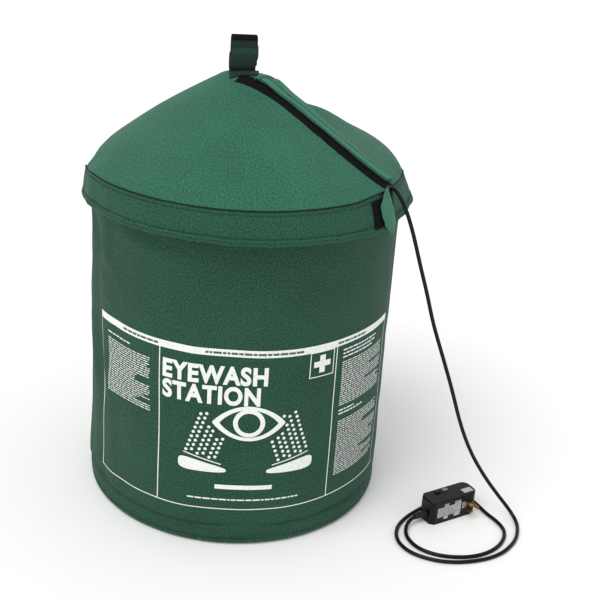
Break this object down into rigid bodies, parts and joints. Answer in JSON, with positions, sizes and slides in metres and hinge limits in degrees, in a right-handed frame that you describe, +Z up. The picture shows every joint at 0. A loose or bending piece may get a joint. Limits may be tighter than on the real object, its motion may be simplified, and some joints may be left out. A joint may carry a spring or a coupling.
{
  "type": "portable eyewash station",
  "caption": "Free-standing eyewash in a round insulated, heated fabric jacket with a conical lift-off cover, apex strap and a supply cord with a ground-fault plug.",
  "frame": {"origin": "centre of the jacket's underside, on the floor", "axes": "+Z up; the printed front faces -Y; +X is to the viewer's right, the side that the cord hangs on"},
  "size_m": [0.7671, 0.6011, 0.784],
  "materials": {
    "green_fabric": "coated woven polyester, matt",
    "green_band": "coated woven polyester, matt",
    "binding": "woven binding tape",
    "foam": "closed-cell foam",
    "lining": "silvered lining",
    "hook_tape": "hook-and-loop tape",
    "webbing": "woven webbing",
    "tank_steel": "brushed stainless steel",
    "fitting_brass": "machined brass",
    "fitting_chrome": "chrome plated",
    "bowl_steel": "satin stainless steel",
    "head_plastic": "moulded yellow plastic",
    "flag_paint": "yellow powder coat",
    "black_rubber": "soft rubber",
    "black_plastic": "moulded black plastic",
    "grey_plastic": "moulded plastic",
    "cord_jacket": "smooth PVC jacket",
    "silicone": "heater silicone",
    "lens": "clear",
    "needle_paint": "black",
    "label": "printed label",
    "button_black": "moulded",
    "button_grey": "moulded"
  },
  "bodies": {
    "station": {"jacket_base": "green_fabric", "jacket_shell": "green_fabric", "wall_insulation": "foam", "wall_lining": "lining", "wall_binding": "binding", "foot_ring": "tank_steel", "tank_shell": "tank_steel", "guard_collar": "tank_steel", "collar_trim": "black_rubber", "port_nipple": "fitting_brass", "dip_tube": "tank_steel", "strainer": "fitting_brass", "valve_body": "fitting_brass", "spindle_bracket": "tank_steel", "tee": "fitting_chrome", "supply_arms": "fitting_chrome", "left_head": "head_plastic", "right_head": "head_plastic", "flow_screens": "fitting_chrome", "bowl": "bowl_steel", "bowl_locknuts": "fitting_chrome", "bowl_drain": "fitting_chrome", "waste_pipe": "black_plastic", "fill_neck": "tank_steel", "gauge_case": "fitting_chrome", "gauge_lens": "lens", "air_valve": "fitting_brass", "relief_valve": "fitting_brass", "heater_mat": "silicone", "thermostat": "black_plastic", "heater_lead": "cord_jacket", "cord_gland": "black_plastic", "power_cord": "cord_jacket", "plug_front": "black_plastic", "plug_rear": "black_plastic", "plug_pins": "fitting_brass", "plug_screws": "fitting_chrome", "plug_labels": "label", "strain_relief": "black_rubber"},
    "cover": {"cover_shell": "green_fabric", "cover_foam": "foam", "cover_lining": "lining", "cover_band": "green_band", "hem_binding": "green_band", "seam_piping": "binding", "slope_tape": "hook_tape", "band_flap": "green_fabric", "strap_anchor": "hook_tape"},
    "slit_flap": {"slit_flap": "green_fabric"},
    "apex_strap": {"apex_strap": "webbing"},
    "valve": {"valve_ball": "fitting_chrome", "valve_spindle": "tank_steel", "push_flag": "flag_paint"},
    "left_cap": {"left_cap": "head_plastic"},
    "right_cap": {"right_cap": "head_plastic"},
    "fill_cap": {"fill_cap": "black_plastic"},
    "gauge_needle": {"gauge_needle": "needle_paint"},
    "relief_ring": {"relief_ring": "tank_steel"},
    "reset_button": {"reset_button": "button_black"},
    "test_button": {"test_button": "button_grey"}
  },
  "joints": [
    {"name": "cover_lift", "type": "slide", "parent": "station", "child": "cover", "axis": [0, 0, 1], "range_m": [0, 0.32]},
    {"name": "slit_peel", "type": "hinge", "parent": "cover", "child": "slit_flap", "pos_m": [0.12508, -0.08279, 0.65999], "axis": [-0.7196, 0.4763, 0.5052], "range_deg": [0, 75]},
    {"name": "strap_flop", "type": "hinge", "parent": "cover", "child": "apex_strap", "pos_m": [-0.013, 0, 0.732], "axis": [1, 0, 0], "range_deg": [-50, 50], "stiffness_Nm_per_rad": 0.3},
    {"name": "flag_turn", "type": "hinge", "parent": "station", "child": "valve", "pos_m": [0, -0.16, 0.522], "axis": [0, 1, 0], "range_deg": [0, 90]},
    {"name": "left_cap_flip", "type": "hinge", "parent": "station", "child": "left_cap", "pos_m": [-0.07, 0.0255, 0.6215], "axis": [-1, 0, 0], "range_deg": [0, 100]},
    {"name": "right_cap_flip", "type": "hinge", "parent": "station", "child": "right_cap", "pos_m": [0.07, 0.0255, 0.6215], "axis": [-1, 0, 0], "range_deg": [0, 100]},
    {"name": "fill_cap_turn", "type": "hinge", "parent": "station", "child": "fill_cap", "pos_m": [-0.12943, 0.09063, 0.496], "axis": [0, 0, 1], "continuous": true},
    {"name": "needle_turn", "type": "hinge", "parent": "station", "child": "gauge_needle", "pos_m": [0.12618, -0.09509, 0.518], "axis": [0, 0, -1], "range_deg": [0, 270]},
    {"name": "ring_swing", "type": "hinge", "parent": "station", "child": "relief_ring", "pos_m": [0.12943, 0.09063, 0.5], "axis": [1, 0, 0], "range_deg": [-80, 80]},
    {"name": "reset_press", "type": "slide", "parent": "station", "child": "reset_button", "axis": [0, 0, -1], "range_m": [0, 0.0015], "stiffness_N_per_m": 400},
    {"name": "test_press", "type": "slide", "parent": "station", "child": "test_button", "axis": [0, 0, -1], "range_m": [0, 0.0015], "stiffness_N_per_m": 400}
  ]
}
